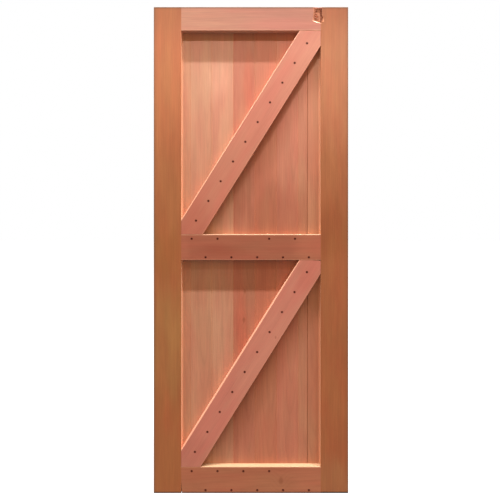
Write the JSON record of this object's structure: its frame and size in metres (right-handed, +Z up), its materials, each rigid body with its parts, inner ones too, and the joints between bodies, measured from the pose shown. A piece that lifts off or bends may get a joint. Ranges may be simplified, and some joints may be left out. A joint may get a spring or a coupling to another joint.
{
  "type": "framed ledged and braced timber door leaf",
  "caption": "Framed, ledged and braced timber door leaf: matchboards nailed to ledges and braces in a mortised frame of stiles and a top rail.",
  "frame": {"origin": "middle of the leaf's foot, halfway through its thickness", "axes": "+Z up along the stiles, +X from the hanging stile to the closing stile, -Y out of the ledge and brace side that the picture shows, +Y out of the boarded front"},
  "size_m": [0.813, 0.044, 2.032],
  "materials": {
    "stile_wood": "stained, satin",
    "rail_wood": "stained, satin",
    "ledge_wood": "stained, satin",
    "brace_wood": "stained, satin",
    "board_wood": "stained, satin",
    "wedge_wood": "stained, satin",
    "nail_steel": "dark, rusted"
  },
  "bodies": {
    "root": {"hanging_stile": "stile_wood", "closing_stile": "stile_wood", "top_rail": "rail_wood", "middle_ledge": "ledge_wood", "bottom_ledge": "ledge_wood", "upper_brace": "brace_wood", "lower_brace": "brace_wood", "board_1": "board_wood", "board_2": "board_wood", "board_3": "board_wood", "board_4": "board_wood", "board_5": "board_wood", "board_6": "board_wood", "board_7": "board_wood", "board_8": "board_wood", "top_rail_wedges": "wedge_wood", "middle_ledge_wedges": "wedge_wood", "bottom_ledge_wedges": "wedge_wood", "middle_ledge_nails": "nail_steel", "bottom_ledge_nails": "nail_steel", "upper_brace_nails": "nail_steel", "lower_brace_nails": "nail_steel"}
  },
  "joints": []
}
